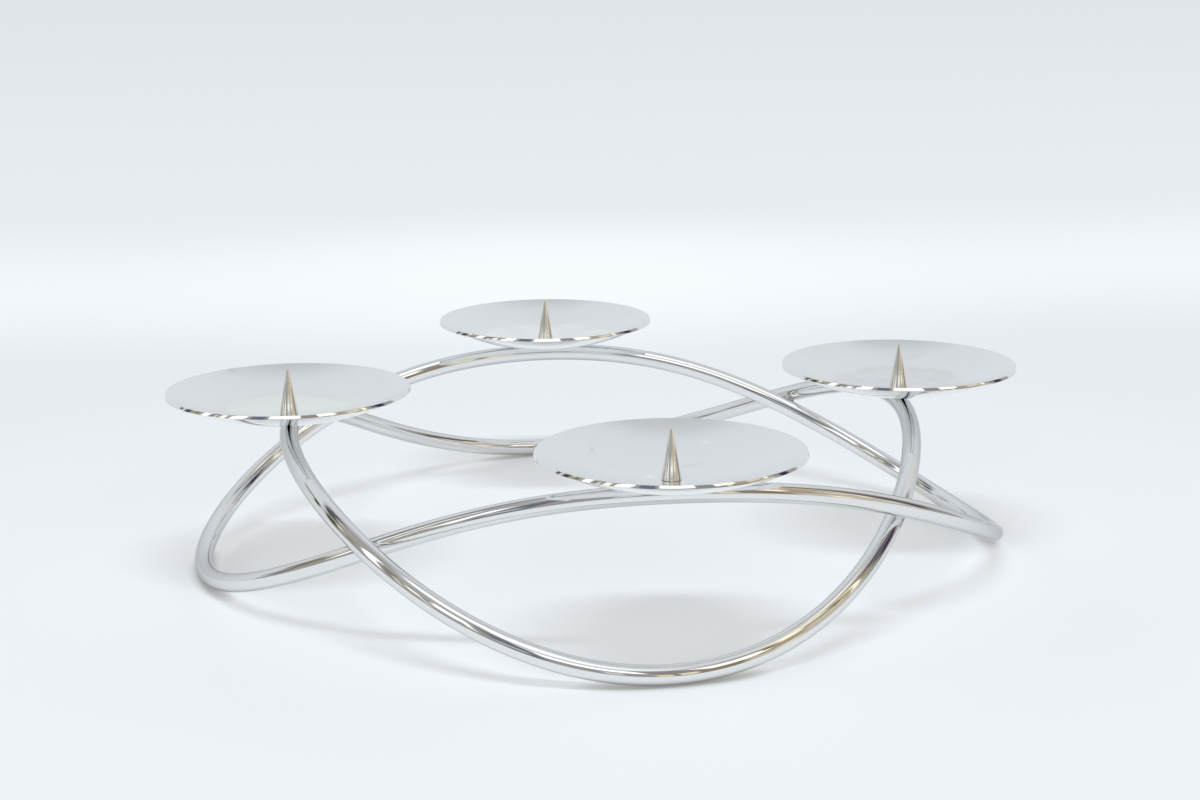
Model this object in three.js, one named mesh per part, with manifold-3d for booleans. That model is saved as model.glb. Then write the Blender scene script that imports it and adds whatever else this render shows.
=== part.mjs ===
// Chromed table candlestick for four candles. Two equal rings of round rod, each bent into two
// crowns and two feet, are woven through each other and brazed at their four crossings. Every
// crown carries a shallow dish, clamped by the stud of the spike that holds the candle.
// Millimetres, +Z up. The origin is on the table under the middle of the rings, +X points at the
// right-hand crown, and -Y is the front.

import * as THREE from 'three';
import { mergeVertices } from 'three/addons/utils/BufferGeometryUtils.js';
import Module from 'manifold-3d';

const wasm = await Module();
wasm.setup();

// Rings, measured to the rod's centreline unless the name says otherwise
const rodDiameter = 6;
const crownRadius = 103; // from the candlestick's axis to the rod at a crown
const footRadius = 132.5; // and to the rod where it rests on the table
const crownTop = 50.5; // height of the rod's upper side at a crown
const crownFlattening = 3; // fourth-order wave that broadens the crowns and tightens the feet
const ringSquareness = 0.8; // the same in plan
const ringTurn = THREE.MathUtils.degToRad(92.5); // from one ring to the other, a little past square

// Dishes, pressed from sheet, with a flat in the middle for the spike
const dishDiameter = 80;
const dishDepth = 10; // overall, from the underside of the flat to the top of the rim
const sheetThickness = 1.2;
const dishFlatDiameter = 12;
const rimRound = 0.2; // of the corners of the rim's cut edge

// Spikes, turned in one piece with their studs
const spikeHeight = 15;
const spikeDiameter = 6;
const spikeTipRadius = 0.4;
const studDiameter = 3;
const tappedDepth = 4.2; // of the blind hole in a crown, below the rod's upper side

// Brazed joints, as half lengths of the drop of filler before the rods take their share
const filletReach = 5; // along the rods
const filletWidth = 3;
const filletRise = 2;

// Clearances
const seamGap = 0.3; // between faces that touch on the real candlestick
const studGap = 0.3; // round a stud
const holeEndGap = 0.4; // under a stud

// Facets
const ringSteps = 96;
const rodSides = 12;
const dishSides = 48;
const wallSteps = 5; // along each face of a dish's wall
const cornerSteps = 2; // round each corner of a rim
const turnedSides = 20; // of the spikes and the holes for their studs
const tipSteps = 3;
const dropSides = 16;

// Search for the places where the rings touch and for the wall of a dish
const searchSpan = 1 / 24; // of a turn, to each side of the first guess
const searchTolerance = 1e-7; // of a turn
const searchRounds = 24;

const rodRadius = rodDiameter / 2;
const bulge = (footRadius - crownRadius) / 2;
const meanRadius = (footRadius + crownRadius) / 2 - ringSquareness;
const archRise = (crownTop - rodDiameter) / 2;
const middleHeight = rodRadius + archRise + crownFlattening;
// At a crossing the rods lean away from each other, inwards as well as down, so the sideways
// swing that lets them just touch is more than half of their spacing.
const weave = ((rodDiameter + seamGap) / 2) * (Math.hypot(archRise, bulge) / archRise);
const ringAngles = { side: 0, front: ringTurn };
const dishUnderside = crownTop + seamGap;
const spikeFoot = dishUnderside + sheetThickness + seamGap;

const upAxis = new THREE.Vector3(0, 0, 1);

// Centreline of a ring, with a crown at the start and half way round.
class RingLine extends THREE.Curve {
  getPoint(turn, target = new THREE.Vector3()) {
    const angle = turn * 2 * Math.PI;
    const radius = meanRadius - bulge * Math.cos(2 * angle) + weave * Math.sin(2 * angle)
      + ringSquareness * Math.cos(4 * angle);
    const height = middleHeight + archRise * Math.cos(2 * angle)
      - crownFlattening * Math.cos(4 * angle);
    return target.set(radius * Math.cos(angle), radius * Math.sin(angle), height);
  }

  // Even steps of the turn put a section exactly on each crown and each foot.
  getPointAt(turn, target) {
    return this.getPoint(turn, target);
  }

  getTangentAt(turn, target) {
    return this.getTangent(turn, target);
  }

  // Sections stay upright, so that the top of a crown and the sole of a foot lie on the mesh.
  computeFrenetFrames(steps) {
    const tangents = [];
    const normals = [];
    const binormals = [];
    for (let step = 0; step <= steps; step += 1) {
      const tangent = this.getTangent((step % steps) / steps);
      const sideways = upAxis.clone().cross(tangent).normalize();
      tangents.push(tangent);
      normals.push(new THREE.Vector3().crossVectors(tangent, sideways).normalize());
      binormals.push(sideways.negate());
    }
    return { tangents, normals, binormals };
  }
}

const ringLine = new RingLine();

function toSolid(geometry) {
  const bare = geometry.clone();
  bare.deleteAttribute('normal');
  bare.deleteAttribute('uv');
  const merged = mergeVertices(bare);
  return new wasm.Manifold(new wasm.Mesh({
    numProp: 3,
    vertProperties: new Float32Array(merged.attributes.position.array),
    triVerts: new Uint32Array(merged.index.array),
  }));
}

function toGeometry(solid) {
  const { vertProperties, triVerts } = solid.getMesh();
  const geometry = new THREE.BufferGeometry();
  geometry.setAttribute('position', new THREE.BufferAttribute(vertProperties, 3));
  geometry.setIndex(new THREE.BufferAttribute(triVerts, 1));
  geometry.computeVertexNormals();
  return geometry;
}

// Rod of the given radius along a ring's centreline.
function ringRod(radius) {
  return new THREE.TubeGeometry(ringLine, ringSteps, radius, rodSides, true);
}

// A ring with a tapped hole in the top of each crown.
function makeRing() {
  let ring = toSolid(ringRod(rodRadius));
  const holeRadius = studDiameter / 2 + studGap;
  const holeLength = tappedDepth + rodRadius;
  for (const side of [-1, 1]) {
    const hole = new THREE.CylinderGeometry(holeRadius, holeRadius, holeLength, turnedSides);
    hole.rotateX(Math.PI / 2);
    hole.translate(side * crownRadius, 0, crownTop - tappedDepth + holeLength / 2);
    ring = ring.subtract(toSolid(hole));
  }
  return toGeometry(ring);
}

// Points of an arc in the plane of a turned profile: x is the radius and y the height.
function arcPoints(centreX, centreY, radius, start, end, steps) {
  const points = [];
  for (let step = 0; step <= steps; step += 1) {
    const angle = start + (end - start) * (step / steps);
    points.push(new THREE.Vector2(
      centreX + radius * Math.cos(angle),
      centreY + radius * Math.sin(angle),
    ));
  }
  return points;
}

// Turns a profile about the vertical axis, with the profile's heights along +Z.
function turned(profile, sides) {
  const geometry = new THREE.LatheGeometry(profile, sides);
  geometry.rotateX(Math.PI / 2);
  return geometry;
}

// Wall of a dish: its middle surface runs on a sphere from the edge of the flat to the middle of
// the rim's cut edge. The lean of that edge decides how far its corners reach, and the corners
// reach the dish's diameter and depth, so the wall is found by rounds.
function fitWall() {
  const half = sheetThickness / 2;
  const flatRadius = dishFlatDiameter / 2;
  let rimTurn = -Math.PI / 2; // where the rim is, as seen from the sphere's centre
  let centreHeight = 0;
  for (let round = 0; round < searchRounds; round += 1) {
    const sharpness = rimRound * (Math.cos(rimTurn) - Math.sin(rimTurn) - 1);
    const rimRadius = dishDiameter / 2 - half * Math.cos(rimTurn) + sharpness;
    const rimHeight = dishDepth + half * Math.sin(rimTurn) + sharpness;
    centreHeight = (rimRadius ** 2 - flatRadius ** 2 + rimHeight ** 2 - half ** 2)
      / (2 * (rimHeight - half));
    rimTurn = Math.atan2(rimHeight - centreHeight, rimRadius);
  }
  return { centreHeight, rimTurn, wallRadius: Math.hypot(flatRadius, centreHeight - half) };
}

// Dish: a spherical wall of even thickness round a flat, with its rim cut square to the sheet and
// both corners rounded off. The flat's upper side is split just outside the spike's shoulder, so
// that the free part, where a candle sits, is its own face.
function makeDish() {
  const { centreHeight, rimTurn, wallRadius } = fitWall();
  const outerRadius = wallRadius + sheetThickness / 2;
  const innerRadius = wallRadius - sheetThickness / 2;
  const outerStart = Math.asin(-centreHeight / outerRadius);
  const innerStart = Math.asin((sheetThickness - centreHeight) / innerRadius);
  const wallEnd = rimTurn - rimRound / wallRadius;
  const holeRadius = studDiameter / 2 + studGap;
  const seatRadius = spikeDiameter / 2 + seamGap;
  const outside = arcPoints(0, centreHeight, outerRadius, outerStart, wallEnd, wallSteps);
  const inside = arcPoints(0, centreHeight, innerRadius, wallEnd, innerStart, wallSteps);
  const corners = [outerRadius - rimRound, innerRadius + rimRound].flatMap((radius, corner) => {
    const start = rimTurn + corner * (Math.PI / 2);
    return arcPoints(
      radius * Math.cos(wallEnd),
      centreHeight + radius * Math.sin(wallEnd),
      rimRound,
      start,
      start + Math.PI / 2,
      cornerSteps,
    );
  });
  const profile = [
    new THREE.Vector2(holeRadius, 0),
    ...outside,
    ...corners.slice(1, -1),
    ...inside,
    new THREE.Vector2(seatRadius, sheetThickness),
    new THREE.Vector2(holeRadius, sheetThickness),
    new THREE.Vector2(holeRadius, 0),
  ];
  return turned(profile, dishSides);
}

// Spike: a slim cone with a rounded tip, standing on its shoulder, with the stud below it.
function makeSpike() {
  const shoulder = spikeDiameter / 2;
  const studRadius = studDiameter / 2;
  const studEnd = crownTop - tappedDepth + holeEndGap - spikeFoot;
  const tipCentre = spikeHeight - spikeTipRadius;
  const lean = Math.atan2(shoulder - spikeTipRadius, tipCentre);
  const profile = [
    new THREE.Vector2(0, studEnd),
    new THREE.Vector2(studRadius, studEnd),
    new THREE.Vector2(studRadius, 0),
    new THREE.Vector2(shoulder, 0),
    ...arcPoints(0, tipCentre, spikeTipRadius, lean, Math.PI / 2, tipSteps).slice(0, -1),
    new THREE.Vector2(0, spikeHeight),
  ];
  return turned(profile, turnedSides);
}

// Turn of a ring, near a guess, at which its centreline passes closest to a point.
function nearestTurn(point, ringAngle, guess) {
  const local = point.clone().applyAxisAngle(upAxis, -ringAngle);
  let low = guess - searchSpan;
  let high = guess + searchSpan;
  while (high - low > searchTolerance) {
    const third = (high - low) / 3;
    const nearer = ringLine.getPoint(low + third).distanceTo(local)
      < ringLine.getPoint(high - third).distanceTo(local);
    low = nearer ? low : low + third;
    high = nearer ? high - third : high;
  }
  return (low + high) / 2;
}

function onRing(turn, ringAngle) {
  return ringLine.getPoint(turn).applyAxisAngle(upAxis, ringAngle);
}

// The place where the rings touch near a heading, found by stepping from rod to rod.
function findCrossing(heading) {
  const frontGuess = (heading - ringAngles.front) / (2 * Math.PI);
  let sideTurn = heading / (2 * Math.PI);
  let frontTurn = frontGuess;
  for (let round = 0; round < searchRounds; round += 1) {
    frontTurn = nearestTurn(onRing(sideTurn, ringAngles.side), ringAngles.front, frontGuess);
    sideTurn = nearestTurn(onRing(frontTurn, ringAngles.front), ringAngles.side, sideTurn);
  }
  const sidePoint = onRing(sideTurn, ringAngles.side);
  const frontPoint = onRing(frontTurn, ringAngles.front);
  const sideRun = ringLine.getTangent(sideTurn).applyAxisAngle(upAxis, ringAngles.side);
  const frontRun = ringLine.getTangent(frontTurn).applyAxisAngle(upAxis, ringAngles.front);
  return {
    middle: sidePoint.clone().add(frontPoint).multiplyScalar(0.5),
    along: sideRun.clone().add(frontRun).normalize(),
    between: frontPoint.clone().sub(sidePoint).normalize(),
  };
}

// Braze: a flat drop of filler round the touching point, with both rods cut out of it.
function makeBraze(crossing, rods) {
  const drop = new THREE.SphereGeometry(1, dropSides, dropSides / 2);
  drop.scale(filletReach, filletWidth, filletRise);
  const across = new THREE.Vector3().crossVectors(crossing.between, crossing.along);
  const place = new THREE.Matrix4().makeBasis(crossing.along, across, crossing.between);
  place.setPosition(crossing.middle);
  drop.applyMatrix4(place);
  let braze = toSolid(drop);
  for (const rod of rods) {
    braze = braze.subtract(rod);
  }
  return toGeometry(braze);
}

function chrome(color, roughness) {
  return new THREE.MeshStandardMaterial({ color, roughness, metalness: 1 });
}

function addPiece(parent, name, geometry, material) {
  const piece = new THREE.Mesh(geometry, material);
  piece.name = name;
  parent.add(piece);
  return piece;
}

const candlestick = new THREE.Group();

const ringGeometry = makeRing();
for (const [name, angle] of Object.entries(ringAngles)) {
  const ring = addPiece(candlestick, `ring_${name}`, ringGeometry, chrome(0xd9dde0, 0.05));
  ring.rotation.z = angle;
}

const dishGeometry = makeDish();
const spikeGeometry = makeSpike();
const crownHeadings = {
  right: ringAngles.side,
  back: ringAngles.front,
  left: ringAngles.side + Math.PI,
  front: ringAngles.front + Math.PI,
};
for (const [name, heading] of Object.entries(crownHeadings)) {
  const crown = new THREE.Group();
  crown.rotation.z = heading;
  candlestick.add(crown);
  const dish = addPiece(crown, `dish_${name}`, dishGeometry, chrome(0xd2d6da, 0.12));
  dish.position.set(crownRadius, 0, dishUnderside);
  const spike = addPiece(crown, `spike_${name}`, spikeGeometry, chrome(0xd6d8d6, 0.08));
  spike.position.set(crownRadius, 0, spikeFoot);
}

const clearRods = Object.values(ringAngles).map((angle) => {
  const rod = ringRod(rodRadius + seamGap);
  rod.rotateZ(angle);
  return toSolid(rod);
});
const crossingHeadings = {
  back_right: (crownHeadings.right + crownHeadings.back) / 2,
  back_left: (crownHeadings.back + crownHeadings.left) / 2,
  front_left: (crownHeadings.left + crownHeadings.front) / 2,
  front_right: (crownHeadings.front + crownHeadings.right + 2 * Math.PI) / 2,
};
for (const [name, heading] of Object.entries(crossingHeadings)) {
  const braze = makeBraze(findCrossing(heading), clearRods);
  addPiece(candlestick, `braze_${name}`, braze, chrome(0xc9c9c2, 0.2));
}

export default candlestick;
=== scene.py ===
import math

import bmesh
import bpy
import numpy as np
from mathutils import Matrix, Vector


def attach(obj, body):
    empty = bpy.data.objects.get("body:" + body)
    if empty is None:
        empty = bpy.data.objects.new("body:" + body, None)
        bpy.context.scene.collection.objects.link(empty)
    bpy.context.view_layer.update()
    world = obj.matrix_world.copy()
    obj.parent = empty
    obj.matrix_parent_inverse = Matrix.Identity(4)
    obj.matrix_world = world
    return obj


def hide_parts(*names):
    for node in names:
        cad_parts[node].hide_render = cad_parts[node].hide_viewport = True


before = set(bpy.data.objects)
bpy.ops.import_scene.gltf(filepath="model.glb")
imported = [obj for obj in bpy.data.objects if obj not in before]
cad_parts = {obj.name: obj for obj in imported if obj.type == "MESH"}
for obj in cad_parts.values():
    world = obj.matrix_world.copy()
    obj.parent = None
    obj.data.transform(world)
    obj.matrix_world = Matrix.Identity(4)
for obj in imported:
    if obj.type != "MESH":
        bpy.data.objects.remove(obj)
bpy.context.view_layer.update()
print("frame loaded with", len(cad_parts), "nodes")

# Camera, seen from the photograph's side: angles in degrees, lengths in metres
cameraSettings = {
    "azimuth": -8.979,
    "elevation": 13.069,
    "roll": -0.462,
    "distance": 0.74085,
    "aimHeight": 0.052134,
    "focalPixels": 2216.47,  # at an image 1200 pixels wide
    "imageWidth": 1200,
    "sensorWidth": 36,
    "clipping": (0.01, 100),
}


# The camera stands on a line from the aim point, looks back along it, and is rolled about it.
def makeCamera(settings):
    azimuth = math.radians(settings["azimuth"])
    elevation = math.radians(settings["elevation"])
    roll = math.radians(settings["roll"])
    back = Vector((
        math.sin(azimuth) * math.cos(elevation),
        -math.cos(azimuth) * math.cos(elevation),
        math.sin(elevation),
    ))
    level = Vector((0, 0, 1)).cross(back).normalized()
    upright = back.cross(level)
    right = math.cos(roll) * level + math.sin(roll) * upright
    up = back.cross(right)
    camera = bpy.data.objects.new("studioCamera", bpy.data.cameras.new("studioCamera"))
    bpy.context.scene.collection.objects.link(camera)
    camera.data.sensor_fit = "HORIZONTAL"
    camera.data.sensor_width = settings["sensorWidth"]
    camera.data.lens = settings["focalPixels"] * settings["sensorWidth"] / settings["imageWidth"]
    camera.data.clip_start, camera.data.clip_end = settings["clipping"]
    place = Vector((0, 0, settings["aimHeight"])) + back * settings["distance"]
    turn = Matrix((right, up, back)).transposed().to_4x4()
    camera.matrix_world = Matrix.Translation(place) @ turn
    bpy.context.scene.camera = camera


makeCamera(cameraSettings)
print("camera placed")


# Quads between neighbouring points of a grid. A closed direction joins its end to its start.
# Returns each quad's corners and, for its UV map, how far along both directions each corner is.
def gridQuads(rowCount, columnCount, closedRows, closedColumns):
    rowCells = rowCount if closedRows else rowCount - 1
    columnCells = columnCount if closedColumns else columnCount - 1
    row, column = np.meshgrid(np.arange(rowCells), np.arange(columnCells), indexing="ij")
    rowSteps = np.stack([row, row, row + 1, row + 1], axis=-1).reshape(-1, 4)
    columnSteps = np.stack([column, column + 1, column + 1, column], axis=-1).reshape(-1, 4)
    corners = (rowSteps % rowCount) * columnCount + columnSteps % columnCount
    shares = np.stack([rowSteps / rowCells, columnSteps / columnCells], axis=-1)
    return corners, shares


weldDistance = 1e-7  # metres, for the points that meet at a pole


# Puts a grid of points into a mesh, welds the poles, turns the faces out, gives the piece its
# finish, its UV map and its body, and hides the CAD node that it stands for. Marks are values at
# the points that the finish reads: colours, or one number each.
def addPiece(name, points, closedRows, closedColumns, material, nodeName, marks=()):
    rowCount, columnCount = points.shape[:2]
    corners, shares = gridQuads(rowCount, columnCount, closedRows, closedColumns)
    mesh = bpy.data.meshes.new(name)
    mesh.vertices.add(rowCount * columnCount)
    mesh.vertices.foreach_set("co", points.astype(np.float32).ravel())
    mesh.loops.add(corners.size)
    mesh.loops.foreach_set("vertex_index", corners.astype(np.int32).ravel())
    mesh.polygons.add(len(corners))
    mesh.polygons.foreach_set("loop_start", np.arange(0, corners.size, 4, dtype=np.int32))
    mesh.update(calc_edges=True)
    surfaceMap = mesh.uv_layers.new(name="surfaceMap")
    surfaceMap.data.foreach_set("uv", shares.astype(np.float32).ravel())
    for markName, values in marks:
        kind, key = ("FLOAT_COLOR", "color") if values.ndim == 3 else ("FLOAT", "value")
        attribute = mesh.attributes.new(markName, kind, "POINT")
        attribute.data.foreach_set(key, values.astype(np.float32).ravel())
    work = bmesh.new()
    work.from_mesh(mesh)
    bmesh.ops.remove_doubles(work, verts=work.verts, dist=weldDistance)
    bmesh.ops.recalc_face_normals(work, faces=work.faces)
    work.to_mesh(mesh)
    work.free()
    mesh.shade_smooth()
    mesh.materials.append(material)
    piece = bpy.data.objects.new(name, mesh)
    bpy.context.scene.collection.objects.link(piece)
    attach(piece, "root")
    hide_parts(nodeName)


# Gives a shader socket its value: a plain one is written there, another node's is linked.
def feed(socket, value):
    if isinstance(value, bpy.types.NodeSocket):
        socket.id_data.links.new(value, socket)
    else:
        socket.default_value = value


# One step of arithmetic in a shader, on sockets and plain numbers.
def mathStep(tree, operation, *values):
    node = tree.nodes.new("ShaderNodeMath")
    node.operation = operation
    for socket, value in zip(node.inputs, values):
        feed(socket, value)
    return node.outputs["Value"]


# Carries a value from one range to another with soft ends, and holds it there outside them.
def smoothStep(tree, value, low, high, outLow, outHigh):
    node = tree.nodes.new("ShaderNodeMapRange")
    node.interpolation_type = "SMOOTHSTEP"
    feed(node.inputs["Value"], value)
    feed(node.inputs["From Min"], low)
    feed(node.inputs["From Max"], high)
    feed(node.inputs["To Min"], outLow)
    feed(node.inputs["To Max"], outHigh)
    return node.outputs["Result"]


# Goes from the first colour to the second by a factor, or multiplies the second into the first.
def colorStep(tree, factor, first, second, blend="MIX"):
    node = tree.nodes.new("ShaderNodeMix")
    node.data_type = "RGBA"
    node.blend_type = blend
    feed(node.inputs["Factor"], factor)
    feed(node.inputs["A"], first)
    feed(node.inputs["B"], second)
    return node.outputs["Result"]


# A colour with nothing see-through about it.
def solid(color):
    return (*color, 1)


# Noise patterns of the chrome: how fine their detail is, and between which values they fade in
chromeNoise = {
    "smudges": {"detail": 4, "range": (0.5, 0.75)},
    "marks": {"detail": 3, "range": (0.3, 0.65), "least": 0.45},  # least: between the gaps
    "scratches": {"detail": 2, "range": (0.6, 0.8)},
    "ripple": {"detail": 1},
}


# Chrome plate: mirror-bright, with soft smudges, hairline scratches and a faint ripple of the
# polished metal below it. Colours are linear, lengths are in metres.
def makeChrome(name, settings):
    material = bpy.data.materials.new(name)
    material.use_nodes = True
    tree = material.node_tree
    shader = tree.nodes["Principled BSDF"]
    shader.inputs["Metallic"].default_value = 1.0
    shader.inputs["Specular Tint"].default_value = solid(settings["grazingTint"])
    place = tree.nodes.new("ShaderNodeTexCoord").outputs["Object"]

    def noise(kind, size, stretch=(1, 1, 1)):
        mapping = tree.nodes.new("ShaderNodeMapping")
        texture = tree.nodes.new("ShaderNodeTexNoise")
        feed(mapping.inputs["Scale"], stretch)
        feed(mapping.inputs["Vector"], place)
        feed(texture.inputs["Scale"], 1 / size)
        feed(texture.inputs["Detail"], chromeNoise[kind]["detail"])
        feed(texture.inputs["Vector"], mapping.outputs["Vector"])
        return texture.outputs["Fac"]

    smudges = smoothStep(tree, noise("smudges", settings["smudgeSize"]),
                         *chromeNoise["smudges"]["range"], 0, 1)
    color = colorStep(tree, smudges, solid(settings["color"]), solid(settings["smudgeColor"]))
    scratches = noise("scratches", settings["scratchSize"], settings["scratchStretch"])
    roughness = mathStep(
        tree, "ADD",
        smoothStep(tree, smudges, 0, 1, settings["roughness"], settings["smudgeRoughness"]),
        smoothStep(tree, scratches, *chromeNoise["scratches"]["range"],
                   0, settings["scratchRoughness"]))
    if "markBreak" in settings:
        # The candle marks also carry the painted glints of the front dish
        marks = tree.nodes.new("ShaderNodeAttribute")
        marks.attribute_name = "candleAndGlintTint"
        gaps = smoothStep(tree, noise("marks", settings["markBreak"]),
                          *chromeNoise["marks"]["range"], chromeNoise["marks"]["least"], 1)
        color = colorStep(tree, gaps, color, marks.outputs["Color"], "MULTIPLY")
        haze = tree.nodes.new("ShaderNodeAttribute")
        haze.attribute_name = "haze"
        roughness = mathStep(tree, "MULTIPLY_ADD", haze.outputs["Fac"],
                             settings["hazeRoughness"], roughness)
    feed(shader.inputs["Base Color"], color)
    feed(shader.inputs["Roughness"], roughness)

    ripple = tree.nodes.new("ShaderNodeBump")
    ripple.inputs["Strength"].default_value = 1
    ripple.inputs["Distance"].default_value = settings["rippleDepth"]
    feed(ripple.inputs["Height"], noise("ripple", settings["rippleSize"]))
    feed(shader.inputs["Normal"], ripple.outputs["Normal"])
    return material


rodChrome = makeChrome("rodChrome", {
    "color": (0.835, 0.84, 0.838),
    "smudgeColor": (0.84, 0.84, 0.83),
    "grazingTint": (0.66, 0.66, 0.66),
    "roughness": 0.02,
    "smudgeSize": 0.03,
    "smudgeRoughness": 0.05,
    "scratchSize": 0.0006,
    "scratchStretch": (1, 1, 1),
    "scratchRoughness": 0.04,
    "rippleSize": 0.012,
    "rippleDepth": 0.00002,
})
dishChrome = makeChrome("dishChrome", {
    "color": (0.87, 0.88, 0.885),
    "smudgeColor": (0.86, 0.865, 0.86),
    "grazingTint": (1, 1, 1),
    "roughness": 0.04,
    "smudgeSize": 0.02,
    "smudgeRoughness": 0.08,
    "hazeRoughness": 0.16,  # added where candles are set down and wiped round
    "markBreak": 0.009,  # size of the gaps in the marks that candles left
    "scratchSize": 0.0008,
    "scratchStretch": (1, 6, 1),
    "scratchRoughness": 0.05,
    "rippleSize": 0.02,
    "rippleDepth": 0.00003,
})
spikeChrome = makeChrome("spikeChrome", {
    "color": (0.92, 0.91, 0.87),
    "smudgeColor": (0.84, 0.82, 0.74),
    "grazingTint": (0.8, 0.8, 0.8),
    "roughness": 0.18,
    "smudgeSize": 0.004,
    "smudgeRoughness": 0.3,
    "scratchSize": 0.0004,
    "scratchStretch": (1, 1, 8),
    "scratchRoughness": 0.06,
    "rippleSize": 0.003,
    "rippleDepth": 0.00003,
})
brazeChrome = makeChrome("brazeChrome", {
    "color": (0.76, 0.77, 0.77),
    "smudgeColor": (0.6, 0.6, 0.58),
    "grazingTint": (0.6, 0.6, 0.6),
    "roughness": 0.08,
    "smudgeSize": 0.003,
    "smudgeRoughness": 0.2,
    "scratchSize": 0.0004,
    "scratchStretch": (1, 1, 1),
    "scratchRoughness": 0.05,
    "rippleSize": 0.0015,
    "rippleDepth": 0.0001,
})
print("finishes made")

# Woven rings of round rod: lengths in metres, radii to the rod's centreline
ringSettings = {
    "rodRadius": 0.003,
    "crownRadius": 0.103,
    "footRadius": 0.1325,
    "crownTop": 0.0505,
    "crownFlattening": 0.003,
    "squareness": 0.0008,
    "seamGap": 0.0003,
    "turns": {"side": 0.0, "front": math.radians(92.5)},
    "stepsAlong": 720,
    "stepsRound": 72,
}


# Centreline of a ring at the given angles: a circle whose radius and height swing twice round
# it, so that it has two crowns and two feet, with a small wave of twice that rate that broadens
# the crowns. Returns the points and the unit tangents.
def ringLine(angles, turn, settings):
    rod = settings["rodRadius"]
    bulge = (settings["footRadius"] - settings["crownRadius"]) / 2
    square = settings["squareness"]
    meanRadius = (settings["footRadius"] + settings["crownRadius"]) / 2 - square
    rise = (settings["crownTop"] - 2 * rod) / 2
    flattening = settings["crownFlattening"]
    middle = rod + rise + flattening
    weave = (rod + settings["seamGap"] / 2) * math.hypot(rise, bulge) / rise
    double, fourfold = 2 * angles, 4 * angles
    radius = (meanRadius - bulge * np.cos(double) + weave * np.sin(double)
              + square * np.cos(fourfold))
    radiusSlope = (2 * bulge * np.sin(double) + 2 * weave * np.cos(double)
                   - 4 * square * np.sin(fourfold))
    height = middle + rise * np.cos(double) - flattening * np.cos(fourfold)
    heightSlope = -2 * rise * np.sin(double) + 4 * flattening * np.sin(fourfold)
    cosine, sine = np.cos(angles + turn), np.sin(angles + turn)
    points = np.stack([radius * cosine, radius * sine, height], axis=-1)
    run = np.stack([radiusSlope * cosine - radius * sine,
                    radiusSlope * sine + radius * cosine, heightSlope], axis=-1)
    return points, run / np.linalg.norm(run, axis=-1, keepdims=True)


# Rod surface: a circle of the rod's radius, square to the centreline, carried round the ring.
def ringSurface(turn, settings):
    angles = np.linspace(0, 2 * np.pi, settings["stepsAlong"], endpoint=False)
    around = np.linspace(0, 2 * np.pi, settings["stepsRound"], endpoint=False)
    centres, run = ringLine(angles, turn, settings)
    inward = np.cross([0, 0, 1], run)
    inward /= np.linalg.norm(inward, axis=-1, keepdims=True)
    up = np.cross(run, inward)
    section = (np.cos(around)[None, :, None] * inward[:, None, :]
               + np.sin(around)[None, :, None] * up[:, None, :])
    return centres[:, None, :] + settings["rodRadius"] * section


for side, turn in ringSettings["turns"].items():
    addPiece("woven_ring_" + side, ringSurface(turn, ringSettings), True, True,
             rodChrome, "ring_" + side)
print("rings made")

# Pressed dishes: lengths in metres, heights from the underside of the flat
dishSettings = {
    "radius": 0.04,
    "depth": 0.01,
    "sheet": 0.0012,
    "flatRadius": 0.006,
    "bend": 0.0016,  # half length of the soft bend between the flat and the wall
    "bendSteps": 9,
    "bendPowers": (2.5, 1.5),  # how its height and its lean grow along it
    "wallStart": 1.05,  # where the wall's points begin, in half bends past the flat
    "holeRadius": 0.0018,
    "underside": 0.0506,
    "rimCut": 0.00033,  # how far the cut edge lies beyond the rim's middle
    "rimRound": 0.00012,  # how much the corners of the cut edge are rounded
    "wallSteps": 44,
    "cornerSteps": 6,
    "sides": 192,
    "candleRadius": 0.021,  # of the mark that a candle's foot left round the spike
    "candleWaves": ((2, 1, 0.0008), (5, -2, 0.0005)),  # their number round it, shift, height
    "ringWidth": 0.0016,  # half width of the line along the mark
    "ringPatches": (0.6, 0.3, 0.1),  # its strength, and how far that swings once and thrice round
    "insideSoftness": 0.0014,  # of the edge of the area inside the mark
    # What the marks do to the chrome's colour: along the ring, and inside it
    "ringTints": {
        "right": (0.965, 0.935, 0.88),
        "back": (1.10, 1.09, 0.99),
        "left": (0.965, 0.955, 0.89),
        "front": (0.995, 0.99, 0.98),
    },
    "insideTints": {
        "right": (0.915, 0.90, 0.895),
        "back": (1.09, 1.095, 1.07),
        "left": (1.05, 1.05, 1.0),
        "front": (1.0, 1.0, 1.0),
    },
    # Single marks and painted glints: how far to the right of and behind the spike, half sizes,
    # and the tint there
    "specksAndGlints": {
        "right": ((0.012, 0.026, 0.005, 0.0020, (0.95, 0.94, 0.91)),
                  (-0.015, 0.012, 0.004, 0.0016, (0.95, 0.94, 0.92))),
        "back": ((-0.016, 0.004, 0.007, 0.0025, (1.10, 1.10, 1.0)),
                 (0.006, 0.020, 0.005, 0.0016, (0.93, 0.94, 0.94)),
                 (0.012, -0.004, 0.005, 0.0020, (1.10, 1.08, 0.98))),
        "left": ((-0.0182, 0.0338, 0.0022, 0.0014, (0.84, 0.87, 0.90)),
                 (0.009, 0.008, 0.006, 0.0035, (1.06, 1.06, 1.0))),
        # the first and the last front marks are painted glints, lighter than the chrome itself
        "front": ((0.0152, 0.0240, 0.0009, 0.0009, (1.24, 1.24, 1.12)),
                  (-0.0199, 0.0209, 0.0007, 0.0016, (0.88, 0.885, 0.90)),
                  (0.0082, 0.0114, 0.0028, 0.0010, (0.88, 0.88, 0.87)),
                  (-0.0058, 0.0038, 0.0018, 0.0010, (1.16, 1.17, 1.2))),
    },
}


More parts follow.
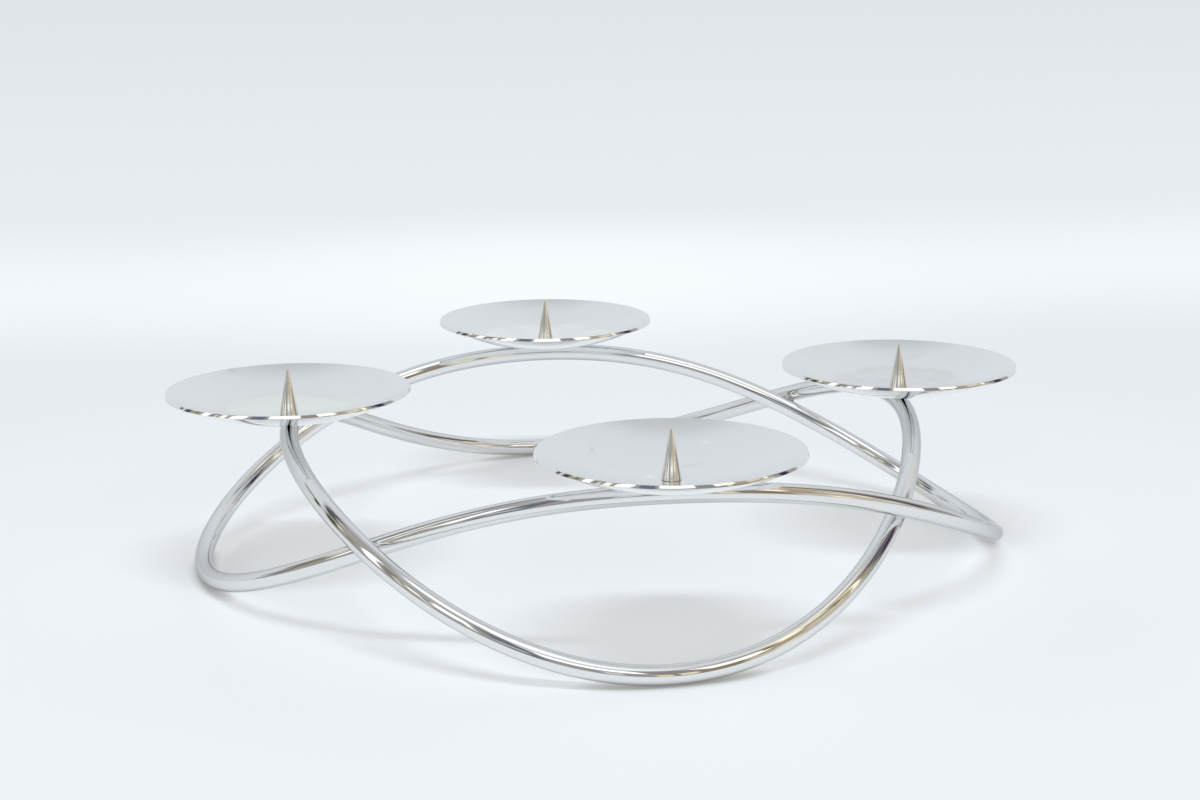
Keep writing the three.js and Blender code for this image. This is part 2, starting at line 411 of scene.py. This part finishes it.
# Profile of a dish as a closed loop: the sheet's middle line is flat, then bends into an arc of
# a circle, and both faces lie half a sheet off it. The rim is cut square to the sheet, with
# small rounds at both corners.
def dishProfile(settings):
    half = settings["sheet"] / 2
    rimRadius = settings["radius"] - half
    rimHeight = settings["depth"] - half
    flat = settings["flatRadius"]
    arcHeight = ((rimRadius ** 2 - flat ** 2 + rimHeight ** 2 - half ** 2)
                 / (2 * (rimHeight - half)))
    arcRadius = math.hypot(flat, arcHeight - half)
    rimLean = math.asin(rimRadius / arcRadius)
    bend = settings["bend"]
    bendEnd = flat + bend
    heightPower, leanPower = settings["bendPowers"]
    bendShare = np.linspace(0, 1, settings["bendSteps"])
    bendLean = math.asin(bendEnd / arcRadius) * bendShare ** leanPower
    wallLean = np.linspace(math.asin(flat / arcRadius), rimLean, settings["wallSteps"])
    wallLean = wallLean[np.sin(wallLean) * arcRadius > flat + settings["wallStart"] * bend]
    hole = settings["holeRadius"]
    radius = np.concatenate([[hole, (hole + flat - bend) / 2], flat + bend * (2 * bendShare - 1),
                             arcRadius * np.sin(wallLean)])
    lean = np.concatenate([[0, 0], bendLean, wallLean])
    wallHeight = arcHeight - np.sqrt(arcRadius ** 2 - radius ** 2)
    bendHeight = arcHeight - math.sqrt(arcRadius ** 2 - bendEnd ** 2) - half
    reached = np.clip((radius - flat + bend) / (2 * bend), 0, 1)
    height = np.where(radius > bendEnd, wallHeight, half + bendHeight * reached ** heightPower)
    outward = np.stack([np.sin(lean), -np.cos(lean)], axis=-1)
    middle = np.stack([radius, height], axis=-1)
    under = middle + half * outward
    over = middle - half * outward
    cornerTurn = np.linspace(0, np.pi / 2, settings["cornerSteps"] + 1)[:, None]
    cosine, sine = np.cos(cornerTurn), np.sin(cornerTurn)
    along = np.array([math.cos(rimLean), math.sin(rimLean)])
    corner = settings["rimRound"]
    edge = middle[-1] + (settings["rimCut"] - corner) * along
    off = (half - corner) * outward[-1]
    lowCorner = edge + off + corner * (cosine * outward[-1] + sine * along)
    highCorner = edge - off + corner * (cosine * along - sine * outward[-1])
    return np.concatenate([under, lowCorner, highCorner, over[::-1]])


# Turns a profile of radius and height about an upright axis through a centre.
def turnedSurface(profile, sides, centre):
    angles = np.linspace(0, 2 * np.pi, sides, endpoint=False)
    across = profile[None, :, 0]
    return np.stack([centre[0] + across * np.cos(angles)[:, None],
                     centre[1] + across * np.sin(angles)[:, None],
                     centre[2] + np.repeat(profile[None, :, 1], sides, axis=0)], axis=-1)


crownHeadings = {
    "right": ringSettings["turns"]["side"],
    "back": ringSettings["turns"]["front"],
    "left": ringSettings["turns"]["side"] + math.pi,
    "front": ringSettings["turns"]["front"] + math.pi,
}


# The point over a crown at a height.
def crownPlace(heading, height):
    radius = ringSettings["crownRadius"]
    return radius * math.cos(heading), radius * math.sin(heading), height


# Marks on a dish's upper face: the tint of a thin uneven ring where a candle stood, of the area
# inside it, of a few specks and of painted glints, and the haze that wiping leaves.
def candleMarksAndGlints(profile, settings, side, heading):
    angles = np.linspace(0, 2 * np.pi, settings["sides"], endpoint=False)[:, None]
    radius = profile[None, :, 0]
    upper = (np.arange(len(profile)) > np.argmax(profile[:, 1])) * np.ones_like(angles)
    wave = sum(height * np.sin(count * angles + shift * heading)
               for count, shift, height in settings["candleWaves"])
    away = radius - settings["candleRadius"] - wave
    even, once, thrice = settings["ringPatches"]
    patches = even + once * np.sin(angles + 2 * heading) + thrice * np.sin(3 * angles + heading)
    shares = [np.exp(-(away / settings["ringWidth"]) ** 2) * patches,
              1 / (1 + np.exp(away / settings["insideSoftness"]))]
    tints = [settings["ringTints"][side], settings["insideTints"][side]]
    across, deep = radius * np.cos(angles), radius * np.sin(angles)
    for right, behind, halfWidth, halfDepth, speckAndGlintTint in settings["specksAndGlints"][side]:
        shares.append(np.exp(-((across - right) / halfWidth) ** 2
                             - ((deep - behind) / halfDepth) ** 2))
        tints.append(speckAndGlintTint)
    tint = np.ones((settings["sides"], len(profile), 4))
    for share, change in zip(shares, tints):
        tint[..., :3] *= 1 + (share * upper)[..., None] * (np.array(change) - 1)
    return ("candleAndGlintTint", tint), ("haze", upper)


for side, heading in crownHeadings.items():
    profile = dishProfile(dishSettings)
    surface = turnedSurface(profile, dishSettings["sides"],
                            crownPlace(heading, dishSettings["underside"]))
    addPiece("pressed_dish_" + side, surface, True, True, dishChrome,
             "dish_" + side, candleMarksAndGlints(profile, dishSettings, side, heading))
print("dishes made")

# Spikes with their studs: lengths in metres, heights from the shoulder
spikeSettings = {
    "height": 0.01545,
    "shoulderRadius": 0.003,
    "shoulderRound": 0.00015,
    "tipRadius": 0.0004,
    "studRadius": 0.0015,
    "studLength": 0.0051,
    "shoulderHeight": 0.05185,
    "shoulderSteps": 6,
    "coneSteps": 24,
    "tipSteps": 8,
    "sides": 64,
}


# Profile of a spike from the stud's end to the tip: the stud, the shoulder with a small round,
# a straight cone and a round tip that runs on from it.
def spikeProfile(settings):
    tipCentre = settings["height"] - settings["tipRadius"]
    lean = math.atan2(settings["shoulderRadius"] - settings["tipRadius"], tipCentre)
    tipTurn = np.linspace(lean, np.pi / 2, settings["tipSteps"])
    tip = np.stack([settings["tipRadius"] * np.cos(tipTurn),
                    tipCentre + settings["tipRadius"] * np.sin(tipTurn)], axis=-1)
    edge = settings["shoulderRound"]
    edgeTurn = np.linspace(-np.pi / 2, lean, settings["shoulderSteps"])
    shoulder = np.stack([settings["shoulderRadius"] - edge + edge * np.cos(edgeTurn),
                         edge + edge * np.sin(edgeTurn)], axis=-1)
    share = np.linspace(0, 1, settings["coneSteps"])[1:-1, None]
    cone = shoulder[-1] * (1 - share) + tip[0] * share
    stud = np.array([[0, -settings["studLength"]],
                     [settings["studRadius"], -settings["studLength"]],
                     [settings["studRadius"], 0]])
    return np.concatenate([stud, shoulder, cone, tip])


for side, heading in crownHeadings.items():
    surface = turnedSurface(spikeProfile(spikeSettings), spikeSettings["sides"],
                            crownPlace(heading, spikeSettings["shoulderHeight"]))
    addPiece("candle_spike_" + side, surface, True, False, spikeChrome,
             "spike_" + side)
print("spikes made")

# Brazed joints: the hollow-sided drop of filler between two crossing rods
brazeSettings = {
    "halfOpening": 0.0019,  # how far from a rod's crest the filler ends
    "outlinePower": 4,
    "hollow": 0.14,  # how far the side is drawn in, as a share of its distance from the middle
    "bite": 0.00008,  # how far the filler goes into the rods
    "searchSpan": math.radians(9),
    "searchSteps": 721,
    "sides": 72,
    "faceSteps": 10,
    "wallSteps": 12,
}


# Where two rings come closest near a heading: the middle between them, the direction midway
# along both rods, the one across it, the direction from rod to rod, and the side ring's angle
# to the midway direction.
def findCrossing(heading, settings):
    spans = np.linspace(-settings["searchSpan"], settings["searchSpan"], settings["searchSteps"])
    sideTurn, frontTurn = ringSettings["turns"]["side"], ringSettings["turns"]["front"]
    sidePoints, sideRuns = ringLine(heading - sideTurn + spans, sideTurn, ringSettings)
    frontPoints, frontRuns = ringLine(heading - frontTurn + spans, frontTurn, ringSettings)
    gaps = np.linalg.norm(sidePoints[:, None, :] - frontPoints[None, :, :], axis=-1)
    sideStep, frontStep = np.unravel_index(np.argmin(gaps), gaps.shape)
    between = frontPoints[frontStep] - sidePoints[sideStep]
    between /= np.linalg.norm(between)
    sideRun, frontRun = sideRuns[sideStep], frontRuns[frontStep]
    along = sideRun + frontRun
    along -= between * (along @ between)
    along /= np.linalg.norm(along)
    middle = (sidePoints[sideStep] + frontPoints[frontStep]) / 2
    across = np.cross(between, along)
    return middle, along, across, between, math.atan2(sideRun @ across, sideRun @ along)


# Filler surface: two faces that follow the rods, joined round their outline by a hollow side.
# The outline is where the opening between the rods reaches a fixed height, with soft corners.
def brazeSurface(crossing, settings):
    middle, along, across, between, sideAngle = crossing
    rod = ringSettings["rodRadius"]
    heading = np.linspace(0, 2 * np.pi, settings["sides"], endpoint=False)[:, None]
    faceShare = np.linspace(0, 1, settings["faceSteps"])
    wallShare = np.linspace(0, 1, settings["wallSteps"])[1:-1]
    reach = np.concatenate([faceShare, 1 - settings["hollow"] * np.sin(np.pi * wallShare),
                            faceShare[::-1]])[None, :]
    level = np.concatenate([0 * faceShare, wallShare, 0 * faceShare + 1])[None, :]
    offSide = np.abs(np.sin(heading - sideAngle))
    offFront = np.abs(np.sin(heading + sideAngle))
    power = settings["outlinePower"]
    outline = settings["halfOpening"] / (offSide ** power + offFront ** power) ** (1 / power)
    distance = reach * outline
    half = rod + ringSettings["seamGap"] / 2
    low = -half + np.sqrt(rod ** 2 - (distance * offSide) ** 2) - settings["bite"]
    high = half - np.sqrt(rod ** 2 - (distance * offFront) ** 2) + settings["bite"]
    height = low * (1 - level) + high * level
    return (middle + (distance * np.cos(heading))[..., None] * along
            + (distance * np.sin(heading))[..., None] * across + height[..., None] * between)


crossingHeadings = {
    "back_right": (crownHeadings["right"] + crownHeadings["back"]) / 2,
    "back_left": (crownHeadings["back"] + crownHeadings["left"]) / 2,
    "front_left": (crownHeadings["left"] + crownHeadings["front"]) / 2,
    "front_right": (crownHeadings["front"] + crownHeadings["right"] + 2 * math.pi) / 2,
}
for side, heading in crossingHeadings.items():
    surface = brazeSurface(findCrossing(heading, brazeSettings), brazeSettings)
    addPiece("braze_fillet_" + side, surface, True, False, brazeChrome,
             "braze_" + side)
print("brazes made")

# Floor: pale paper that runs on past the horizon. Near the candlestick the studio lights it, and
# further out it shows a set colour with the painted light and shade of a paper sweep bending up:
# a darker dip, a lighter band, and a lighter patch behind the candlestick.
floorSettings = {
    "radius": 12.0,
    "sides": 96,
    "paper": (237, 240, 243),  # colours here as a screen shows them
    "nearRadius": 0.2,  # within this the studio lights the paper
    "farRadius": 0.34,  # beyond this the paper shows its set colour alone, painted light and shade included
    "ownShare": 0.4,  # how much of that set colour the paper keeps near the candlestick
    "contactReach": 0.004,  # of the painted contact shadow where a rod rests on the paper
    "contactOpenness": (0.15, 0.95),  # from the full shade to none
    "contactShade": (0.58, 0.57, 0.54),
    "backward": (0.0405, 0.9992, 0),  # the way in which the bands are counted
    "bandScale": 0.75,  # metres at half of the bands' scale
    "sweepShading": (  # painted light and shade of a paper sweep, as a darker dip, a lit band and a darker far wall: how far back, in metres, and the colour there
        (0.0, (236, 240, 244)),
        (0.31, (231, 236, 241)),
        (0.53, (242, 247, 251)),
        (0.88, (232, 236, 241)),
        (6.0, (225, 229, 234)),
    ),
    "glow": (248, 252, 255),  # in the middle of a painted pool of light behind the candlestick
    "glowPlace": (0.06, 0.53, 0),
    "glowRadius": 0.3,
}


# Linear colour of a colour as a screen shows it, with 255 as white.
def fromScreen(color):
    shares = np.array(color) / 255
    straight = np.where(shares <= 0.04045, shares / 12.92, ((shares + 0.055) / 1.055) ** 2.4)
    return (*(float(value) for value in straight), 1)


def makeFloor(settings):
    mesh = bpy.data.meshes.new("paperFloor")
    work = bmesh.new()
    bmesh.ops.create_circle(work, cap_ends=True, segments=settings["sides"],
                            radius=settings["radius"])
    work.to_mesh(mesh)
    work.free()
    floor = bpy.data.objects.new("paperFloor", mesh)
    bpy.context.scene.collection.objects.link(floor)
    material = bpy.data.materials.new("paper")
    material.use_nodes = True
    mesh.materials.append(material)
    tree = material.node_tree
    nodes = tree.nodes
    nodes.clear()
    place = nodes.new("ShaderNodeTexCoord").outputs["Object"]

    def placeStep(operation, *values):
        node = nodes.new("ShaderNodeVectorMath")
        node.operation = operation
        for socket, value in zip(node.inputs, (place, *values)):
            feed(socket, value)
        return node.outputs["Value"]

    # The painted bands of light and shade lie on a scale that runs from 0 here to 1 at the
    # horizon.
    scale = settings["bandScale"]
    back = mathStep(tree, "MAXIMUM", placeStep("DOT_PRODUCT", settings["backward"]), 0.0)
    ramp = nodes.new("ShaderNodeValToRGB")
    ramp.color_ramp.interpolation = "EASE"
    sweepShading = settings["sweepShading"]
    while len(ramp.color_ramp.elements) < len(sweepShading):
        ramp.color_ramp.elements.new(0.5)
    for element, (distance, color) in zip(ramp.color_ramp.elements, sweepShading):
        element.position = distance / (distance + scale)
        element.color = fromScreen(color)
    feed(ramp.inputs["Fac"], mathStep(tree, "DIVIDE", back, mathStep(tree, "ADD", back, scale)))
    # A painted pool of light: the lighter patch behind the candlestick
    glow = smoothStep(tree, placeStep("DISTANCE", settings["glowPlace"]),
                      0, settings["glowRadius"], 1, 0)
    paperWithPaintedLight = colorStep(tree, glow, ramp.outputs["Color"], fromScreen(settings["glow"]))

    # Painted contact shadow: ambient occlusion darkens the paper's colour, lit and shown alike,
    # where a rod rests on it
    closeness = nodes.new("ShaderNodeAmbientOcclusion")
    closeness.inputs["Distance"].default_value = settings["contactReach"]
    openness = smoothStep(tree, closeness.outputs["AO"], *settings["contactOpenness"], 0, 1)
    contactShadow = colorStep(tree, openness, solid(settings["contactShade"]), (1, 1, 1, 1))
    shown = nodes.new("ShaderNodeEmission")
    feed(shown.inputs["Color"], colorStep(tree, 1, paperWithPaintedLight, contactShadow, "MULTIPLY"))
    lit = nodes.new("ShaderNodeBsdfDiffuse")
    paper = fromScreen(settings["paper"])
    feed(lit.inputs["Color"], colorStep(tree, 1, paper, contactShadow, "MULTIPLY"))

    rays = nodes.new("ShaderNodeLightPath")
    seen = mathStep(tree, "MAXIMUM", rays.outputs["Is Camera Ray"], rays.outputs["Is Glossy Ray"])
    away = smoothStep(tree, placeStep("LENGTH"), settings["nearRadius"], settings["farRadius"],
                      settings["ownShare"], 1)
    mix = nodes.new("ShaderNodeMixShader")
    feed(mix.inputs["Fac"], mathStep(tree, "MULTIPLY", seen, away))
    feed(mix.inputs[1], lit.outputs["BSDF"])
    feed(mix.inputs[2], shown.outputs["Emission"])
    output = nodes.new("ShaderNodeOutputMaterial")
    feed(output.inputs["Surface"], mix.outputs["Shader"])


makeFloor(floorSettings)
print("floor made")

# Studio round the candlestick, as the chrome sees it. Each panel is a soft-edged patch of the
# surroundings: its name, heading in degrees from the front towards the right, height above the
# horizon, half width, half height, lean, softness, and linear colour. Later ones lie on top.
studioSettings = {
    "air": (2.33, 2.27, 2.15),  # what falls on the paper, from low down all round the room
    "airHigh": (0.10, 0.10, 0.10),  # and from above
    "airHeights": (14, 46),  # degrees over which the one gives way to the other
    "horizon": (0.80, 0.83, 0.86),
    "panels": (
        ("backdrop", 180, 38, 92, 50, 0, 16, (0.761, 0.792, 0.832)),
        ("backdropMiddle", 180, 26, 30, 26, 0, 16, (0.77, 0.805, 0.841)),
        ("backdropRight", 122, 28, 20, 32, 0, 10, (0.761, 0.783, 0.761)),
        ("backdropLow", 180, 3, 78, 8, 0, 5, (0.743, 0.77, 0.796)),
        ("room", 0, 24, 114, 25, 0, 2.5, (0.372, 0.363, 0.345)),
        ("roomHigh", 0, 58, 112, 14, 0, 5, (0.43, 0.43, 0.435)),
        ("ceilingGlow", -2, 60, 24, 13, 0, 4, (0.68, 0.69, 0.70)),
        ("ceiling", 0, 90, 400, 21, 0, 6, (0.60, 0.605, 0.615)),
        ("diffuser", 0, 90, 400, 14, 0, 6, (1.5, 1.52, 1.55)),
        ("diffuserFront", 8, 74, 38, 9, 0, 5, (1.2, 1.22, 1.25)),
        ("ceilingBack", 180, 70, 78, 7.5, 0, 4.5, (0.37, 0.37, 0.37)),
        ("backdropTop", 180, 66, 86, 8, 0, 9, (0.56, 0.58, 0.59)),
        ("beam", 128, 61.5, 20, 1.2, 0, 1.0, (0.12, 0.12, 0.12)),
        ("greyLeft", -120, 66, 33, 12, -10, 4, (0.398, 0.398, 0.381)),
        ("darkLeft", -121, 48, 15, 4.5, -42, 2.5, (0.106, 0.106, 0.097)),
        ("darkLeftTop", -140, 58.5, 12, 4, -15, 3, (0.159, 0.159, 0.15)),
        ("warmLeft", -112, 26, 20, 4.5, 0, 2, (0.44, 0.41, 0.31)),
        ("warmLeftBitA", -126, 24, 3, 2, 20, 1, (0.16, 0.15, 0.09)),
        ("warmLeftBitB", -104, 28, 2, 2.5, 20, 1, (1.1, 1.05, 0.85)),
        ("warmLeftBitC", -98, 22, 2, 3, 0, 1, (0.18, 0.16, 0.08)),
        ("warmLeftBitD", -118, 30, 3, 1.5, 20, 1, (1.0, 0.97, 0.82)),
        ("windowFarLeft", -88, 37, 3.8, 22, 3, 1.5, (1.39, 1.39, 1.39)),
        ("curtainLeft", -78, 34, 3.5, 19, 0, 1.2, (0.266, 0.257, 0.23)),
        ("oliveLow", -109.5, 18, 3.2, 9, 0, 1.5, (0.08, 0.08, 0.053)),
        ("oliveLowLeft", -119.5, 20, 2.2, 8, 0, 1.5, (0.089, 0.089, 0.062)),
        ("lampLeftA", -76, 22, 1.2, 9, 0, 1, (0.92, 0.85, 0.69)),
        ("lampLeftB", -68, 29, 3, 7, 0, 1, (1.16, 1.12, 0.96)),
        ("lampLeftC", -66, 15, 1.2, 7, 0, 1, (0.92, 0.89, 0.73)),
        ("windowLeft", -51, 41, 6.5, 8, 0, 1.2, (1.46, 1.46, 1.46)),
        ("windowLeftLow", -55.5, 30, 5, 6, 0, 1, (1.39, 1.39, 1.39)),
        ("windowLeftLower", -48, 25, 2, 8, 0, 1, (1.16, 1.16, 1.16)),
        ("cupboard", -32, 24, 7, 20, 0, 1.5, (0.155, 0.172, 0.215)),
        ("cupboardHigh", -33, 50, 7.5, 8, 0, 1.5, (0.21, 0.22, 0.25)),
        ("cupboardGlass", -34, 20, 5, 6, 0, 1, (0.549, 0.575, 0.619)),
        ("wallUnderWindow", -8, 13, 14, 12, 0, 1.5, (0.354, 0.354, 0.354)),
        ("windowWide", -5.5, 40.5, 16, 8, 0, 1.2, (1.54, 1.54, 1.54)),
        ("lampMiddle", -3, 15, 3, 7, 0, 1, (0.752, 0.752, 0.752)),
        ("column", 19.5, 42, 8, 15, 0, 1.5, (0.301, 0.283, 0.292)),
        ("shelves", 32, 16, 20, 12, 0, 1.5, (0.301, 0.239, 0.168)),
        ("shelfLampA", 13, 12, 2.7, 9, 0, 1, (0.85, 0.77, 0.48)),
        ("shelfLampB", 21, 16, 2.9, 9, 0, 1, (0.92, 0.85, 0.58)),
        ("shelfLampC", 41, 27, 2.2, 5, 0, 1, (0.841, 0.752, 0.531)),
        ("windowCream", 38.5, 43, 10, 11, 0, 1.2, (1.5, 1.4, 1.2)),
        ("goldWall", 66, 38, 15, 22, 0, 2, (0.50, 0.42, 0.28)),
        ("goldEdge", 53, 54, 1.6, 15, -25, 1, (0.266, 0.212, 0.115)),
        ("goldEdgeInner", 72, 46, 1.3, 13, -8, 0.8, (0.25, 0.18, 0.09)),
        ("tanDark", 52, 31, 4.5, 8, 0, 1.5, (0.434, 0.389, 0.31)),
        ("tanPanel", 66, 28, 7, 8, 0, 1.5, (0.74, 0.69, 0.58)),
        ("goldWindow", 60, 55, 3.2, 8, -22, 1, (1.23, 1.16, 0.85)),
        ("warmTable", 62, 6, 22, 15, 0, 3, (0.72, 0.67, 0.58)),
        ("boardHigh", 52, 24, 20, 1.1, 0, 0.8, (0.20, 0.12, 0.06)),
        ("boardMiddle", 55, 14.5, 23, 1.2, 0, 0.8, (0.23, 0.15, 0.089)),
        ("boardLow", 60, 4, 22, 1.2, 0, 0.8, (0.319, 0.248, 0.177)),
        ("warmLamp", 55, 8, 4, 4, 0, 1.5, (1.15, 0.98, 0.72)),
        ("windowCreamTall", 79.5, 42, 2, 19, -6, 1, (1.23, 1.16, 0.92)),
        ("creamCorner", 72, 63, 6, 4.5, -30, 1.5, (1.35, 1.3, 1.12)),
        ("creamHigh", 108, 71, 34, 1.7, 0, 1.2, (1.2, 1.13, 0.92)),
        ("brownDoor", 85, 48, 3.5, 15, -6, 1.5, (0.398, 0.292, 0.177)),
        ("navyCloth", 94, 40, 7.5, 18, 0, 1.8, (0.15, 0.133, 0.159)),
        ("navyLow", 96.5, 20, 5, 10, 0, 2.0, (0.053, 0.04, 0.08)),
    ),
}


def makeWorld(settings):
    world = bpy.data.worlds.new("studio")
    bpy.context.scene.world = world
    world.use_nodes = True
    tree = world.node_tree
    nodes = tree.nodes
    nodes.clear()
    parts = nodes.new("ShaderNodeSeparateXYZ")
    feed(parts.inputs["Vector"], nodes.new("ShaderNodeTexCoord").outputs["Generated"])
    forward = mathStep(tree, "MULTIPLY", parts.outputs["Y"], -1)
    heading = mathStep(tree, "DEGREES", mathStep(tree, "ARCTAN2", parts.outputs["X"], forward))
    height = mathStep(tree, "DEGREES", mathStep(tree, "ARCSINE", parts.outputs["Z"]))
    color = solid(settings["horizon"])
    for name, toHeading, toHeight, halfWidth, halfHeight, lean, soft, shade in settings["panels"]:
        east = mathStep(tree, "WRAP", mathStep(tree, "SUBTRACT", heading, toHeading), 180, -180)
        north = mathStep(tree, "SUBTRACT", height, toHeight)
        cosine, sine = math.cos(math.radians(lean)), math.sin(math.radians(lean))
        across = mathStep(tree, "ADD", mathStep(tree, "MULTIPLY", east, cosine),
                          mathStep(tree, "MULTIPLY", north, sine))
        along = mathStep(tree, "SUBTRACT", mathStep(tree, "MULTIPLY", north, cosine),
                         mathStep(tree, "MULTIPLY", east, sine))
        inside = [
            smoothStep(tree, mathStep(tree, "ABSOLUTE", value), half - soft, half + soft, 1, 0)
            for value, half in ((across, halfWidth), (along, halfHeight))
        ]
        color = colorStep(tree, mathStep(tree, "MULTIPLY", *inside), color, solid(shade))
        color.node.label = name
    rays = nodes.new("ShaderNodeLightPath")
    above = smoothStep(tree, height, *settings["airHeights"], 0, 1)
    air = colorStep(tree, above, solid(settings["air"]), solid(settings["airHigh"]))
    around = colorStep(tree, rays.outputs["Is Glossy Ray"], air, color)
    background = nodes.new("ShaderNodeBackground")
    feed(background.inputs["Color"], colorStep(tree, rays.outputs["Is Camera Ray"], around,
                                               solid(settings["horizon"])))
    output = nodes.new("ShaderNodeOutputWorld")
    feed(output.inputs["Surface"], background.outputs["Background"])


makeWorld(studioSettings)

# Ceiling lamp: place and size in metres, power in watts, and linear colour
lampSettings = {
    "place": (-0.08, -0.51, 2.0),
    "size": (1.44, 0.26),
    "power": 20.0,
    "color": (0.905, 0.97, 1.06),
}


def makeLamp(settings):
    lamp = bpy.data.objects.new("ceilingLamp", bpy.data.lights.new("ceilingLamp", "AREA"))
    bpy.context.scene.collection.objects.link(lamp)
    lamp.data.shape = "RECTANGLE"
    lamp.data.size, lamp.data.size_y = settings["size"]
    lamp.data.energy = settings["power"]
    lamp.data.color = settings["color"]
    lamp.location = settings["place"]
    lamp.rotation_euler = Vector(settings["place"]).to_track_quat("Z", "Y").to_euler()
    lamp.visible_glossy = False  # the chrome sees the studio's panels in its place


makeLamp(lampSettings)
print("studio lit")

bpy.context.scene.view_settings.view_transform = "Standard"
